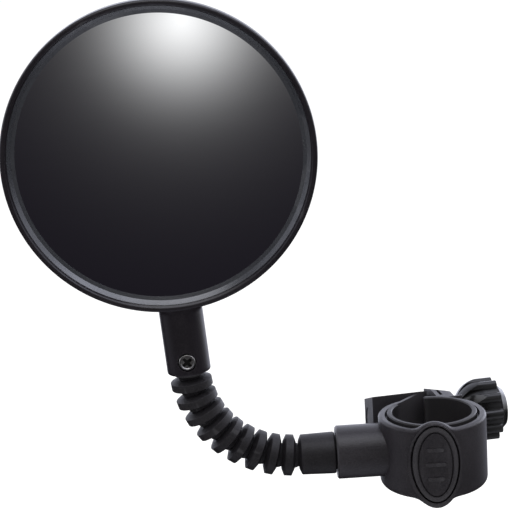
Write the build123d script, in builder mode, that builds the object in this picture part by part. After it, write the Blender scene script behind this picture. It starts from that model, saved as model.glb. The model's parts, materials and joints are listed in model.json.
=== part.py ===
from build123d import *
import os
from math import cos, sin, radians, sqrt

# ---------------------------------------------------------------------------
# Handlebar mirror: split clamp, ribbed ball-and-cup neck, round convex mirror.
# Frame (mm): the origin is the centre of the handlebar bore, +Z along the bore,
# -X towards the neck, -Y towards the reflecting side of the mirror.
# ---------------------------------------------------------------------------

# Clamp ring
BAR_R = 11.1
RING_IN_R = 12.5
RING_OUT_R = 15.05
RING_H = 20.3
RING_TOP = 9.8
RING_BOTTOM = RING_TOP - RING_H
TOP_ROUND = 0.9
BOTTOM_ROUND = 2.0
LINER_H = 21.0
MOUTH_START = 93.0
MOUTH_END = 141.0
BACK_R = 15.7
BACK_Y = -2.2
SHOULDER_R = 3.5
LINER_GAP_R = 13.2
LINER_GAP_H = 1.3
LINER_GAP_Y = -0.5
LINER_GAP_BACK = 11.5
LINER_EDGE = 0.3

# Oval boss and its insert on the front of the ring, a little towards the socket tube
BOSS_X = -1.1
BOSS_Z = -0.35
BOSS_RX = 8.0
BOSS_RZ = 12.55
BOSS_OUT_R = 15.35
BADGE_Z = 0.15
RECESS_RX = 6.75
RECESS_RZ = 11.3
RECESS_R = 13.9
BADGE_RX = 6.2
BADGE_RZ = 10.75
BADGE_R = 15.3

# Socket tube
TUBE_R = 7.45
TUBE_END = 27.2
SOCKET_BORE_R = 4.75
SOCKET_FLOOR = 16.9
SCREW_SEAT = 15.0
SCREW_SEAT_R = 3.1
SCREW_HOLE_R = 1.58

# Lugs and bolt
BOLT_ANGLE = 9.0
BOLT_V = 22.0
BOLT_Z = 1.0
BOLT_R = 2.5
LUG_TOP = 5.7
LUG_BACK = 26.9
LUG_LEFT = -12.7
LUG_FRONT_V = 17.1
LUG_FRONT_Z = 10.4
FLANGE_U = 5.3
FLANGE_T = 1.2
SLOT_T = 0.8
LUG_RIGHT = 12.4
LUG_ROOT_V = 11.5
RIDGE_LEFT_V = 19.9
RIDGE_RIGHT_U = 9.6
RIDGE_RIGHT_V = 16.6
RIDGE_SLOPE = 0.37
LUG_STEP_U = 9.3
LUG_STEP_Z = 2.4
FLANGE_FRONT_V = 15.5
HEX_FLAT_R = 4.05
HEX_POCKET = 3.7
WALL_T = 3.2
WALL_END_U = 4.2
WALL_END_V = 19.8
WALL_END_Z = 10.0
WALL_PEAK_U = 1.5
WALL_CORNER = 2.4
WALL_EDGE_W = 0.9
WALL_SLOPE_W = 3.5
WALL_SLOPE_Z = 6.6

# Knob
KNOB_GAP = 0.1
WASHER_T = 1.0
WASHER_R = 4.0
KNOB_START = 13.6
KNOB_END = 25.2
KNOB_R = 9.1
VALLEY_R = 7.5
BUSH_LEN = 9.0
CAP_SEAT = 1.2
CAP_SEAT_R = 4.6
BOLT_END = 23.6
LOBES = 10
LOBE_R = 1.45
LOBE_START = 30.0
CAP_BASE_R = 7.0
CAP_FACE_R = 5.4
CAP_T = 2.4
CAP_EDGE = 0.6
BUSH_R = 3.6
BUSH_BORE_R = 2.56

# Neck
PITCH = 4.63
LINKS = 9
FIRST_TURN = 6.5
MID_TURN = 9.5
LAST_TURN = 3.5
STEM_DIR = FIRST_TURN + MID_TURN * (LINKS - 1) + LAST_TURN
BALL_R = 3.60
CUP_R = 3.63
BALL_FLAT = 2.0
CUP_FLAT = 2.6
LIP = 0.70
FACE = 1.75
HUB_R = 3.95
RIB_R = 5.75
RIB_TOP = 2.05
FIRST_JOINT_X = 39.5
SLEEVE_R_OUT = 5.85
SLEEVE_R_IN = 5.6
SPIGOT_R = 4.68
SPIGOT_END = 17.2

# Head
HEAD_X = -70.53
HEAD_Z = 87.48
HEAD_Y = -2.0
HEAD_R = 42.1
LIP_IN_R = 40.3
LIP_W = 4.5
GLASS_SIGHT_R = 38.3
GLASS_R = 39.6
GLASS_CURVE = 400.0
GLASS_T = 2.0
GLASS_EDGE_W = 1.4
STEM_R = 6.0
STEM_GAP = 0.85
STEM_BORE_R = 4.25
PLUG_LEN = 9.5
HEAD_BACK = -9.5
WALL = 2.0
LEDGE_W = -2.6
LIP_ROUND = 0.9
LIP_CHAMFER = 1.3
BEZEL_STEP_R = 39.3
BEZEL_STEP_W = 1.85
PAD_IN_R = 35.2
STEM_SCREW_POS = 4.0
STEM_SCREW_R = 0.95
SCREW_HEAD_R = 2.25
SCREW_HEAD_BASE = 4.7
SCREW_HEAD_T = 1.2
SCREW_DEPTH = 3.4
CROSS_LEN = 2.9
CROSS_W = 0.75
CROSS_TURN = 40

os.makedirs("parts", exist_ok=True)


def arm_dir(angle):
    """Unit vector in the arm plane; 0 points to -X and 90 points to +Z."""
    return Vector(-cos(radians(angle)), 0, sin(radians(angle)))


def arm_plane(origin, angle):
    """Plane whose local X runs along the arm and whose normal is -Y."""
    return Plane(origin=origin, x_dir=arm_dir(angle), z_dir=(0, -1, 0))


# Joint centres and link directions of the neck
joint_points = [Vector(-FIRST_JOINT_X, 0, 0)]
link_angles = []
angle_now = FIRST_TURN
for index in range(LINKS):
    link_angles.append(angle_now)
    joint_points.append(joint_points[-1] + arm_dir(angle_now) * PITCH)
    angle_now += MID_TURN
stem_axis = arm_dir(STEM_DIR)
last_joint = joint_points[LINKS]
stem_root = Vector(HEAD_X, 0, HEAD_Z)
head_centre = Vector(HEAD_X, HEAD_Y, HEAD_Z)
stem_end = last_joint + stem_axis * (STEM_GAP - LIP)
STEM_LEN = (stem_root - stem_end).length

# Plane of the bolt: local X along the bolt, local Y upwards
bolt_dir = Vector(cos(radians(BOLT_ANGLE)), sin(radians(BOLT_ANGLE)), 0)
back_dir = Vector(-sin(radians(BOLT_ANGLE)), cos(radians(BOLT_ANGLE)), 0)
bolt_origin = back_dir * BOLT_V + Vector(0, 0, BOLT_Z)
plan = Plane(origin=(0, 0, 0), x_dir=bolt_dir, z_dir=(0, 0, 1))
bolt_plane = Plane(origin=bolt_origin, x_dir=bolt_dir, z_dir=back_dir * -1)


def bolt_section(u):
    """Plane across the bolt at distance u along it, normal along the bolt."""
    return Plane(origin=bolt_origin + bolt_dir * u, x_dir=back_dir, z_dir=bolt_dir)


def on_outer_wall(edge):
    """True when both ends of the edge lie on the outside of the ring."""
    ends = (edge @ 0, edge @ 1)
    return all(abs(sqrt(v.X ** 2 + v.Y ** 2) - RING_OUT_R) < 0.05 for v in ends)


# ---------------------------------------------------------------------------
# Envelope of the ring seen from the front: band with an oval boss
# ---------------------------------------------------------------------------
with BuildPart() as ring_envelope:
    with BuildSketch(Plane.XZ) as front_shape:
        with Locations((0, RING_TOP - RING_H / 2)):
            Rectangle(40, RING_H)
        with Locations((BOSS_X, BOSS_Z)):
            Ellipse(BOSS_RX, BOSS_RZ)
        corners = [v for v in front_shape.vertices() if abs(v.X) < 12]
        fillet(corners, radius=SHOULDER_R)
    extrude(amount=20)
    with BuildSketch(Plane.XY.offset(RING_BOTTOM)):
        with Locations((0, 10)):
            Rectangle(40, 20)
    extrude(amount=RING_H)

with BuildPart() as ring_blank:
    with BuildSketch(Plane.XY.offset(-15)):
        Circle(RING_OUT_R)
        Circle(RING_IN_R, mode=Mode.SUBTRACT)
    extrude(amount=30)
    add(ring_envelope.part, mode=Mode.INTERSECT)
    top_rim = [e for e in ring_blank.edges() if e.center().Z > 5 and on_outer_wall(e)]
    fillet(top_rim, radius=TOP_ROUND)
    bottom_rim = [e for e in ring_blank.edges() if e.center().Z < -5 and on_outer_wall(e)]
    fillet(bottom_rim, radius=BOTTOM_ROUND)
    # the wall thins towards the split at the back
    with BuildSketch(Plane.XY.offset(-15)):
        with Locations((0, BACK_Y)):
            Circle(BACK_R)
    extrude(amount=30, mode=Mode.INTERSECT)

# Thin oval pad that lifts the boss off the band
with BuildPart() as boss_pad:
    with BuildSketch(Plane.XZ):
        with Locations((BOSS_X, BOSS_Z)):
            Ellipse(BOSS_RX - 0.5, BOSS_RZ - 0.5)
    extrude(amount=20)
    with BuildSketch(Plane.XY.offset(-15)):
        Circle(BOSS_OUT_R)
        Circle(RING_IN_R, mode=Mode.SUBTRACT)
    extrude(amount=30, mode=Mode.INTERSECT)

# ---------------------------------------------------------------------------
# Clamp body
# ---------------------------------------------------------------------------
wall_start = Vector(RING_IN_R * cos(radians(MOUTH_END)), RING_IN_R * sin(radians(MOUTH_END)), 0)
wall_end = bolt_dir * WALL_END_U + back_dir * WALL_END_V
wall_dir = (wall_end - wall_start).normalized()
wall_out = Vector(-wall_dir.Y, wall_dir.X, 0)
web_a = wall_start - wall_dir * 3.0
web_b = web_a + wall_out * WALL_T
web_c = wall_end + wall_out * WALL_T
wall_top = WALL_END_Z - BOLT_Z
lug_top = RING_TOP - BOLT_Z

with BuildPart() as web_left:
    with BuildSketch(Plane.XY.offset(RING_BOTTOM)):
        with BuildLine():
            Polyline((web_a.X, web_a.Y), (wall_end.X, wall_end.Y), (web_c.X, web_c.Y), (web_b.X, web_b.Y),
                     close=True)
        make_face()
    extrude(amount=RING_H)
    # the wall drops towards the split, and its corner beside the split is cut away
    with BuildSketch(bolt_plane.offset(-15)):
        with BuildLine():
            Polyline((-9, lug_top), (WALL_PEAK_U, wall_top),
                     (WALL_PEAK_U + WALL_CORNER, wall_top - WALL_CORNER),
                     (WALL_PEAK_U + 8, wall_top - WALL_CORNER), (WALL_PEAK_U + 8, 15), (-9, 15), close=True)
        make_face()
    extrude(amount=30, mode=Mode.SUBTRACT)
    # the outer side of the wall slopes away from its top edge
    with BuildSketch(Plane(origin=web_a - wall_dir * 5, x_dir=wall_out, z_dir=wall_dir)):
        with BuildLine():
            Polyline((WALL_EDGE_W, WALL_END_Z - 0.2), (WALL_EDGE_W, 15), (WALL_SLOPE_W, 15),
                     (WALL_SLOPE_W, WALL_SLOPE_Z), close=True)
        make_face()
    extrude(amount=40, mode=Mode.SUBTRACT)

# Right lug: level with the ring beside it; its top slopes to the back from a skewed ridge
ridge_left = bolt_dir * FLANGE_U + back_dir * RIDGE_LEFT_V
ridge_right = bolt_dir * RIDGE_RIGHT_U + back_dir * RIDGE_RIGHT_V
ridge_dir = (ridge_right - ridge_left).normalized()
ridge_back = Vector(-ridge_dir.Y, ridge_dir.X, 0)
ridge_start = ridge_left - ridge_dir * 10 + Vector(0, 0, RING_TOP)

with BuildPart() as lug_right:
    with BuildSketch(bolt_section(FLANGE_U)):
        with BuildLine():
            Polyline((LUG_ROOT_V - BOLT_V, -LUG_TOP), (LUG_BACK - BOLT_V, -LUG_TOP),
                     (LUG_BACK - BOLT_V, lug_top), (LUG_ROOT_V - BOLT_V, lug_top), close=True)
        make_face()
    extrude(amount=LUG_RIGHT - FLANGE_U)
    with BuildSketch(Plane(origin=ridge_start, x_dir=ridge_back, z_dir=ridge_dir)):
        with BuildLine():
            Polyline((0, 0), (20, -20 * RIDGE_SLOPE), (20, 5), (0, 5), close=True)
        make_face()
    extrude(amount=30, mode=Mode.SUBTRACT)
    # lower step beside the washer
    with BuildSketch(bolt_plane.offset(-10)):
        with BuildLine():
            Polyline((LUG_STEP_U, lug_top + 0.1), (LUG_STEP_U + 0.7, lug_top - LUG_STEP_Z),
                     (LUG_RIGHT + 0.1, lug_top - LUG_STEP_Z - 0.4), (LUG_RIGHT + 0.1, lug_top + 0.1),
                     close=True)
        make_face()
    extrude(amount=20, mode=Mode.SUBTRACT)

with BuildPart() as clamp_body:
    add(ring_blank.part)
    add(boss_pad.part)
    # socket tube
    with BuildSketch(Plane.YZ.offset(-13.0)):
        Circle(TUBE_R)
    extrude(amount=-(TUBE_END - 13.0))
    tube_rim = clamp_body.edges().filter_by(GeomType.CIRCLE).sort_by(Axis.X)[0]
    chamfer(tube_rim, length=0.4)
    # left lug: upright in front and sloping down to the back
    with BuildSketch(bolt_section(LUG_LEFT)):
        with BuildLine():
            Polyline((LUG_BACK - BOLT_V, -LUG_TOP), (LUG_BACK - BOLT_V, LUG_TOP),
                     (LUG_FRONT_V - BOLT_V, LUG_FRONT_Z - BOLT_Z), (LUG_FRONT_V - BOLT_V, -LUG_TOP),
                     close=True)
        make_face()
    extrude(amount=FLANGE_U - 0.6 - LUG_LEFT)
    add(web_left.part)
    add(lug_right.part)
    # bore, mouth and wedge between the two arms
    with BuildSketch(Plane.XY.offset(-15)):
        Circle(RING_IN_R)
    extrude(amount=30, mode=Mode.SUBTRACT)
    mouth_r = Vector(cos(radians(MOUTH_START)), sin(radians(MOUTH_START)), 0) * (BACK_R - 0.1)
    flange_front = bolt_dir * FLANGE_U + back_dir * FLANGE_FRONT_V
    flange_back = bolt_dir * FLANGE_U + back_dir * (LUG_BACK + 1.0)
    gap_back = bolt_dir * (FLANGE_U - 0.6) + back_dir * (LUG_BACK + 1.0)
    with BuildSketch(Plane.XY.offset(-15)):
        with BuildLine():
            Polyline((0, 0), (mouth_r.X, mouth_r.Y), (flange_front.X, flange_front.Y),
                     (flange_back.X, flange_back.Y), (gap_back.X, gap_back.Y), (wall_end.X, wall_end.Y),
                     (wall_start.X, wall_start.Y), close=True)
        make_face()
    extrude(amount=30, mode=Mode.SUBTRACT)
    # slot that sets the thin flange off from the right lug
    with BuildSketch(bolt_section(FLANGE_U + FLANGE_T)):
        with Locations((0, lug_top)):
            Rectangle(16, 5.0)
    extrude(amount=SLOT_T, mode=Mode.SUBTRACT)
    # bolt hole and the hexagonal pocket for its head
    with BuildSketch(bolt_section(LUG_LEFT - 1)):
        Circle(BOLT_R + 0.1)
    extrude(amount=30, mode=Mode.SUBTRACT)
    with BuildSketch(bolt_section(LUG_LEFT)):
        RegularPolygon(radius=HEX_FLAT_R, side_count=6, major_radius=False)
    extrude(amount=HEX_POCKET, mode=Mode.SUBTRACT)
    # socket for the swivel spigot and seat of its screw
    with BuildSketch(Plane.YZ.offset(-TUBE_END - 1)):
        Circle(SOCKET_BORE_R)
    extrude(amount=TUBE_END + 1 - SOCKET_FLOOR, mode=Mode.SUBTRACT)
    with BuildSketch(Plane.YZ.offset(-TUBE_END)):
        Circle(SCREW_HOLE_R)
    extrude(amount=TUBE_END - 10, mode=Mode.SUBTRACT)
    with BuildSketch(Plane.YZ.offset(-SCREW_SEAT)):
        Circle(SCREW_SEAT_R)
    extrude(amount=5, mode=Mode.SUBTRACT)
    # oval recess for the insert
    with BuildSketch(Plane.XZ):
        with Locations((BOSS_X, BADGE_Z)):
            Ellipse(RECESS_RX, RECESS_RZ)
    recess_cut = extrude(amount=20, mode=Mode.PRIVATE)
    recess_core = Cylinder(RECESS_R, 40, mode=Mode.PRIVATE)
    add(recess_cut - recess_core, mode=Mode.SUBTRACT)
    # open step round the front and sides of the liner, at both ends of the ring
    for level, depth in ((RING_TOP - LINER_GAP_H, 5), (RING_BOTTOM + LINER_GAP_H, -5)):
        with BuildSketch(Plane.XY.offset(level)):
            with Locations((0, LINER_GAP_Y)):
                Circle(LINER_GAP_R)
            with Locations((0, LINER_GAP_BACK + 10)):
                Rectangle(40, 20, mode=Mode.SUBTRACT)
        extrude(amount=depth, mode=Mode.SUBTRACT)

clamp_body.part.label = "clamp_body"
export_step(clamp_body.part, "parts/clamp_body.step")

# ---------------------------------------------------------------------------
# Bar liner
# ---------------------------------------------------------------------------
liner_end = LINER_H / 2
liner_out = RING_IN_R - LINER_EDGE
with BuildPart() as bar_liner:
    with BuildSketch(Plane.XZ):
        with BuildLine():
            Polyline((BAR_R, LINER_EDGE - liner_end), (BAR_R + LINER_EDGE, -liner_end),
                     (liner_out, -liner_end), (RING_IN_R, LINER_EDGE - liner_end),
                     (RING_IN_R, liner_end - LINER_EDGE), (liner_out, liner_end),
                     (BAR_R + LINER_EDGE, liner_end), (BAR_R, liner_end - LINER_EDGE), close=True)
        make_face()
    revolve(axis=Axis.Z)
    gap_a = Vector(cos(radians(MOUTH_START)), sin(radians(MOUTH_START)), 0) * 20
    gap_b = Vector(cos(radians(MOUTH_END)), sin(radians(MOUTH_END)), 0) * 20
    gap_turn = radians((MOUTH_START + MOUTH_END) / 2)
    gap_m = Vector(cos(gap_turn), sin(gap_turn), 0) * 30
    with BuildSketch(Plane.XY.offset(-15)):
        with BuildLine():
            Polyline((0, 0), (gap_a.X, gap_a.Y), (gap_m.X, gap_m.Y), (gap_b.X, gap_b.Y), close=True)
        make_face()
    extrude(amount=30, mode=Mode.SUBTRACT)

bar_liner.part.label = "bar_liner"
export_step(bar_liner.part, "parts/bar_liner.step")

# ---------------------------------------------------------------------------
# Badge insert: oval panel with a border groove and three plain bars
# ---------------------------------------------------------------------------
with BuildPart() as badge_insert:
    with BuildSketch(Plane.XZ):
        with Locations((BOSS_X, BADGE_Z)):
            Ellipse(BADGE_RX, BADGE_RZ)
    extrude(amount=20)
    with BuildSketch(Plane.XY.offset(-15)):
        Circle(BADGE_R)
        Circle(RECESS_R, mode=Mode.SUBTRACT)
    extrude(amount=30, mode=Mode.INTERSECT)
    # border groove and lowered panel
    with BuildSketch(Plane.XZ):
        with Locations((BOSS_X, BADGE_Z)):
            Ellipse(BADGE_RX - 1.3, BADGE_RZ - 1.3)
            Ellipse(BADGE_RX - 1.75, BADGE_RZ - 1.75, mode=Mode.SUBTRACT)
    groove_cut = extrude(amount=20, mode=Mode.PRIVATE)
    groove_core = Cylinder(BADGE_R - 0.5, 40, mode=Mode.PRIVATE)
    add(groove_cut - groove_core, mode=Mode.SUBTRACT)
    # plain bars
    with BuildSketch(Plane.XZ):
        for bar_z, bar_w in ((4.2, 4.6), (0.0, 5.6), (-4.2, 4.6)):
            with Locations((BOSS_X, BADGE_Z + bar_z)):
                SlotOverall(bar_w, 1.1)
    bar_raise = extrude(amount=20, mode=Mode.PRIVATE)
    bar_outer = Cylinder(BADGE_R + 0.22, 40, mode=Mode.PRIVATE)
    bar_inner = Cylinder(BADGE_R - 0.4, 40, mode=Mode.PRIVATE)
    add(bar_raise & (bar_outer - bar_inner))

badge_insert.part.label = "badge_insert"
export_step(badge_insert.part, "parts/badge_insert.step")

# ---------------------------------------------------------------------------
# Clamp bolt
# ---------------------------------------------------------------------------
with BuildPart() as clamp_bolt:
    with BuildSketch(bolt_section(LUG_LEFT + 0.2)):
        RegularPolygon(radius=HEX_FLAT_R - 0.07, side_count=6, major_radius=False)
    extrude(amount=HEX_POCKET - 0.2)
    with BuildSketch(bolt_section(LUG_LEFT + 2)):
        Circle(BOLT_R)
    extrude(amount=BOLT_END - LUG_LEFT - 2)
    bolt_tip = clamp_bolt.edges().filter_by(GeomType.CIRCLE).sort_by(Axis.X)[-1]
    chamfer(bolt_tip, length=0.5)

clamp_bolt.part.label = "clamp_bolt"
export_step(clamp_bolt.part, "parts/clamp_bolt.step")

# ---------------------------------------------------------------------------
# Knob group
# ---------------------------------------------------------------------------
with BuildPart() as knob_washer:
    with BuildSketch(bolt_section(LUG_RIGHT + KNOB_GAP)):
        Circle(WASHER_R)
        Circle(BOLT_R + 0.08, mode=Mode.SUBTRACT)
    extrude(amount=WASHER_T)

knob_washer.part.label = "knob_washer"
export_step(knob_washer.part, "parts/knob_washer.step")

bolt_line = Axis(bolt_origin, bolt_dir)


def knob_profile(radius, end):
    """Half section of a domed knob of the given radius, ending at distance end along the bolt."""
    neck = KNOB_START + 0.4
    shoulder = KNOB_START + 7.4
    Polyline((end, radius), (end, 0), (KNOB_START, 0), (KNOB_START, 4.2), (neck, 4.5))
    Spline((neck, 4.5), (KNOB_START + 2.0, 4.5 + 0.5 * (radius - 4.5)),
           (KNOB_START + 4.2, 4.5 + 0.83 * (radius - 4.5)), (shoulder, radius))
    Line((shoulder, radius), (end, radius))


with BuildPart() as knob_core:
    with BuildSketch(bolt_plane):
        with BuildLine():
            knob_profile(VALLEY_R, KNOB_END)
        make_face()
    revolve(axis=bolt_line)

with BuildPart() as knob_body:
    with BuildSketch(bolt_plane):
        with BuildLine():
            knob_profile(KNOB_R, KNOB_END)
        make_face()
    revolve(axis=bolt_line)
    # lobes: round ridges that follow the dome, with valleys between them
    with BuildSketch(bolt_section(KNOB_START - 1)):
        with PolarLocations((KNOB_R - LOBE_R) / 2, LOBES, start_angle=LOBE_START):
            Rectangle(KNOB_R - LOBE_R, 2 * LOBE_R)
        with PolarLocations(KNOB_R - LOBE_R, LOBES, start_angle=LOBE_START):
            Circle(LOBE_R)
    extrude(amount=20, mode=Mode.INTERSECT)
    add(knob_core.part)
    # seat of the bush, clearance for the bolt and pocket of the cap
    with BuildSketch(bolt_section(KNOB_START)):
        Circle(BUSH_R)
    extrude(amount=BUSH_LEN, mode=Mode.SUBTRACT)
    with BuildSketch(bolt_section(KNOB_START + 5)):
        Circle(BOLT_R + 0.35)
    extrude(amount=KNOB_END - KNOB_START, mode=Mode.SUBTRACT)
    with BuildSketch(bolt_section(KNOB_END - CAP_SEAT)):
        Circle(CAP_SEAT_R)
    extrude(amount=3.0, mode=Mode.SUBTRACT)

knob_body.part.label = "knob_body"
export_step(knob_body.part, "parts/knob_body.step")

with BuildPart() as knob_insert:
    with BuildSketch(bolt_section(KNOB_START)):
        Circle(BUSH_R)
        Circle(BUSH_BORE_R, mode=Mode.SUBTRACT)
    extrude(amount=BUSH_LEN)

knob_insert.part.label = "knob_insert"
export_step(knob_insert.part, "parts/knob_insert.step")

with BuildPart() as knob_cap:
    with BuildSketch(bolt_plane):
        with BuildLine():
            Polyline((KNOB_END - CAP_SEAT, 0), (KNOB_END - CAP_SEAT, CAP_SEAT_R), (KNOB_END, CAP_SEAT_R),
                     (KNOB_END, CAP_BASE_R), (KNOB_END + CAP_EDGE, CAP_BASE_R),
                     (KNOB_END + CAP_T, CAP_FACE_R),
                     (KNOB_END + CAP_T, 0), close=True)
        make_face()
    revolve(axis=bolt_line)

knob_cap.part.label = "knob_cap"
export_step(knob_cap.part, "parts/knob_cap.step")

# ---------------------------------------------------------------------------
# Neck
# ---------------------------------------------------------------------------
BALL_ROOT = sqrt(BALL_R ** 2 - FACE ** 2)
BALL_TIP = sqrt(BALL_R ** 2 - BALL_FLAT ** 2)
CUP_MOUTH = sqrt(CUP_R ** 2 - LIP ** 2)
CUP_END = sqrt(CUP_R ** 2 - CUP_FLAT ** 2)
FLANK = (PITCH - FACE + LIP - RIB_TOP) / 2

# Root plug: spigot, tapered sleeve and first ball; local X runs along the arm
root_plane = arm_plane((0, 0, 0), 0)
ball_x = FIRST_JOINT_X
with BuildPart() as neck_root_plug:
    with BuildSketch(root_plane):
        with BuildLine():
            Polyline((ball_x + BALL_FLAT, 0), (SPIGOT_END, 0), (SPIGOT_END, SPIGOT_R - 0.5),
                     (SPIGOT_END + 0.5, SPIGOT_R), (TUBE_END + 0.3, SPIGOT_R),
                     (TUBE_END + 0.3, SLEEVE_R_OUT - 0.3),
                     (TUBE_END + 0.6, SLEEVE_R_OUT), (ball_x - FACE - FLANK, SLEEVE_R_IN),
                     (ball_x - FACE, HUB_R), (ball_x - FACE, BALL_ROOT))
            ThreePointArc((ball_x - FACE, BALL_ROOT), (ball_x, BALL_R), (ball_x + BALL_FLAT, BALL_TIP))
            Line((ball_x + BALL_FLAT, BALL_TIP), (ball_x + BALL_FLAT, 0))
        make_face()
    revolve(axis=Axis.X)
    with BuildSketch(Plane.YZ.offset(-SPIGOT_END)):
        Circle(SCREW_HOLE_R - 0.08)
    extrude(amount=-8.0, mode=Mode.SUBTRACT)

neck_root_plug.part.label = "neck_root_plug"
export_step(neck_root_plug.part, "parts/neck_root_plug.step")

with BuildPart() as swivel_screw:
    with BuildSketch(Plane.YZ.offset(-SCREW_SEAT + 0.1)):
        Circle(SCREW_SEAT_R - 0.3)
    extrude(amount=1.7)
    with BuildSketch(Plane.YZ.offset(-SCREW_SEAT + 0.6)):
        Circle(SCREW_HOLE_R - 0.08)
    extrude(amount=-9.2)
    with BuildSketch(Plane.YZ.offset(-SCREW_SEAT + 1.8)):
        Rectangle(3.0, 0.7)
        Rectangle(0.7, 3.0)
    extrude(amount=-0.9, mode=Mode.SUBTRACT)

swivel_screw.part.label = "swivel_screw"
export_step(swivel_screw.part, "parts/swivel_screw.step")

# One link about its own cup centre, arm direction along local X
with BuildPart() as link_shape:
    with BuildSketch(Plane.XZ):
        with BuildLine():
            ThreePointArc((-LIP, CUP_MOUTH), (0, CUP_R), (CUP_FLAT, CUP_END))
            Polyline((CUP_FLAT, CUP_END), (CUP_FLAT, 0), (PITCH + BALL_FLAT, 0),
                     (PITCH + BALL_FLAT, BALL_TIP))
            ThreePointArc((PITCH + BALL_FLAT, BALL_TIP), (PITCH, BALL_R), (PITCH - FACE, BALL_ROOT))
            Polyline((PITCH - FACE, BALL_ROOT), (PITCH - FACE, HUB_R), (PITCH - FACE - FLANK, RIB_R),
                     (-LIP + FLANK, RIB_R), (-LIP, HUB_R), (-LIP, CUP_MOUTH))
        make_face()
    revolve(axis=Axis.X)

for index in range(LINKS):
    centre = joint_points[index]
    turn = Rotation(0, 180 + link_angles[index], 0)
    placed = Pos(centre.X, centre.Y, centre.Z) * turn * link_shape.part
    with BuildPart() as neck_link:
        add(placed)
    link_name = f"neck_link_{index + 1:02d}"
    neck_link.part.label = link_name
    export_step(neck_link.part, f"parts/{link_name}.step")

# ---------------------------------------------------------------------------
# Head
# ---------------------------------------------------------------------------
head_x = Vector(sin(radians(STEM_DIR)), 0, cos(radians(STEM_DIR)))
face_plane = Plane(origin=head_centre, x_dir=head_x, z_dir=(0, -1, 0))
side_plane = Plane(origin=head_centre, x_dir=head_x, z_dir=stem_axis * -1)
normal_line = Axis(head_centre, (0, -1, 0))


def glass_front(r):
    """Height of the convex face at radius r above the head plane."""
    crown = GLASS_EDGE_W + GLASS_CURVE - sqrt(GLASS_CURVE ** 2 - GLASS_SIGHT_R ** 2)
    return crown - (GLASS_CURVE - sqrt(GLASS_CURVE ** 2 - r ** 2))


# stem screw: near the end of the stem, driven in from the reflecting side
screw_point = stem_end + stem_axis * STEM_SCREW_POS
screw_plane = Plane(origin=screw_point, x_dir=head_x, z_dir=(0, -1, 0))

# Top plug: last cup and the pin that the stem is screwed to
top_plane = arm_plane(last_joint, STEM_DIR)
stem_line = Axis(last_joint, stem_axis)
with BuildPart() as neck_top_plug:
    with BuildSketch(top_plane):
        with BuildLine():
            ThreePointArc((-LIP, CUP_MOUTH), (0, CUP_R), (CUP_FLAT, CUP_END))
            Polyline((CUP_FLAT, CUP_END), (CUP_FLAT, 0), (PLUG_LEN, 0), (PLUG_LEN, STEM_BORE_R - 0.5),
                     (PLUG_LEN - 0.5, STEM_BORE_R), (-LIP, STEM_BORE_R), (-LIP, CUP_MOUTH))
        make_face()
    revolve(axis=stem_line)
    with BuildSketch(screw_plane.offset(-SCREW_DEPTH)):
        Circle(STEM_SCREW_R)
    extrude(amount=8.0, mode=Mode.SUBTRACT)

neck_top_plug.part.label = "neck_top_plug"
export_step(neck_top_plug.part, "parts/neck_top_plug.step")

# Stem: it runs into the side wall of the shell behind the lip
with BuildPart() as stem_blank:
    with BuildSketch(Plane(origin=stem_end, x_dir=head_x, z_dir=stem_axis)):
        Circle(STEM_R)
    extrude(amount=STEM_LEN - 32.0)
    with BuildSketch(side_plane):
        with BuildLine():
            Polyline((0, LEDGE_W), (LIP_IN_R, LEDGE_W), (LIP_IN_R, 12), (0, 12), close=True)
        make_face()
    revolve(axis=normal_line, mode=Mode.SUBTRACT)

with BuildPart() as mirror_housing:
    with BuildSketch(side_plane):
        with BuildLine():
            Polyline((0, HEAD_BACK + WALL), (0, HEAD_BACK))
            Spline((0, HEAD_BACK), (20, HEAD_BACK + 0.9), (34, -6.0), (HEAD_R, 0.6),
                   tangents=((1, 0), (0.15, 1)))
            Polyline((HEAD_R, 0.6), (HEAD_R, LIP_W - LIP_ROUND))
            ThreePointArc((HEAD_R, LIP_W - LIP_ROUND), (HEAD_R - 0.26, LIP_W - 0.26),
                          (HEAD_R - LIP_ROUND, LIP_W))
            Polyline((HEAD_R - LIP_ROUND, LIP_W), (LIP_IN_R, LIP_W - LIP_CHAMFER), (LIP_IN_R, LEDGE_W),
                     (PAD_IN_R, LEDGE_W), (33, -4.2), (20, -6.6), (0, HEAD_BACK + WALL))
        make_face()
    revolve(axis=normal_line)
    add(stem_blank.part)
    # bore for the top plug and seat of the screw
    with BuildSketch(Plane(origin=stem_end, x_dir=head_x, z_dir=stem_axis)):
        Circle(STEM_BORE_R)
    extrude(amount=PLUG_LEN + 0.4, mode=Mode.SUBTRACT)
    with BuildSketch(screw_plane.offset(SCREW_HEAD_BASE)):
        Circle(SCREW_HEAD_R + 0.2)
    extrude(amount=4.0, mode=Mode.SUBTRACT)
    with BuildSketch(screw_plane):
        Circle(STEM_SCREW_R + 0.15)
    extrude(amount=8.0, mode=Mode.SUBTRACT)

mirror_housing.part.label = "mirror_housing"
export_step(mirror_housing.part, "parts/mirror_housing.step")

with BuildPart() as stem_screw:
    with BuildSketch(screw_plane.offset(SCREW_HEAD_BASE)):
        Circle(SCREW_HEAD_R)
    extrude(amount=SCREW_HEAD_T)
    with BuildSketch(screw_plane.offset(-SCREW_DEPTH)):
        Circle(STEM_SCREW_R)
    extrude(amount=SCREW_DEPTH + SCREW_HEAD_BASE + 0.3)
    head_rim = stem_screw.edges().filter_by(GeomType.CIRCLE).sort_by(Axis.Y)[0]
    chamfer(head_rim, length=0.35)
    with BuildSketch(screw_plane.offset(SCREW_HEAD_BASE + SCREW_HEAD_T)):
        Rectangle(CROSS_LEN, CROSS_W, rotation=CROSS_TURN)
        Rectangle(CROSS_W, CROSS_LEN, rotation=CROSS_TURN)
    extrude(amount=-0.85, mode=Mode.SUBTRACT)

stem_screw.part.label = "stem_screw"
export_step(stem_screw.part, "parts/stem_screw.step")

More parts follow.
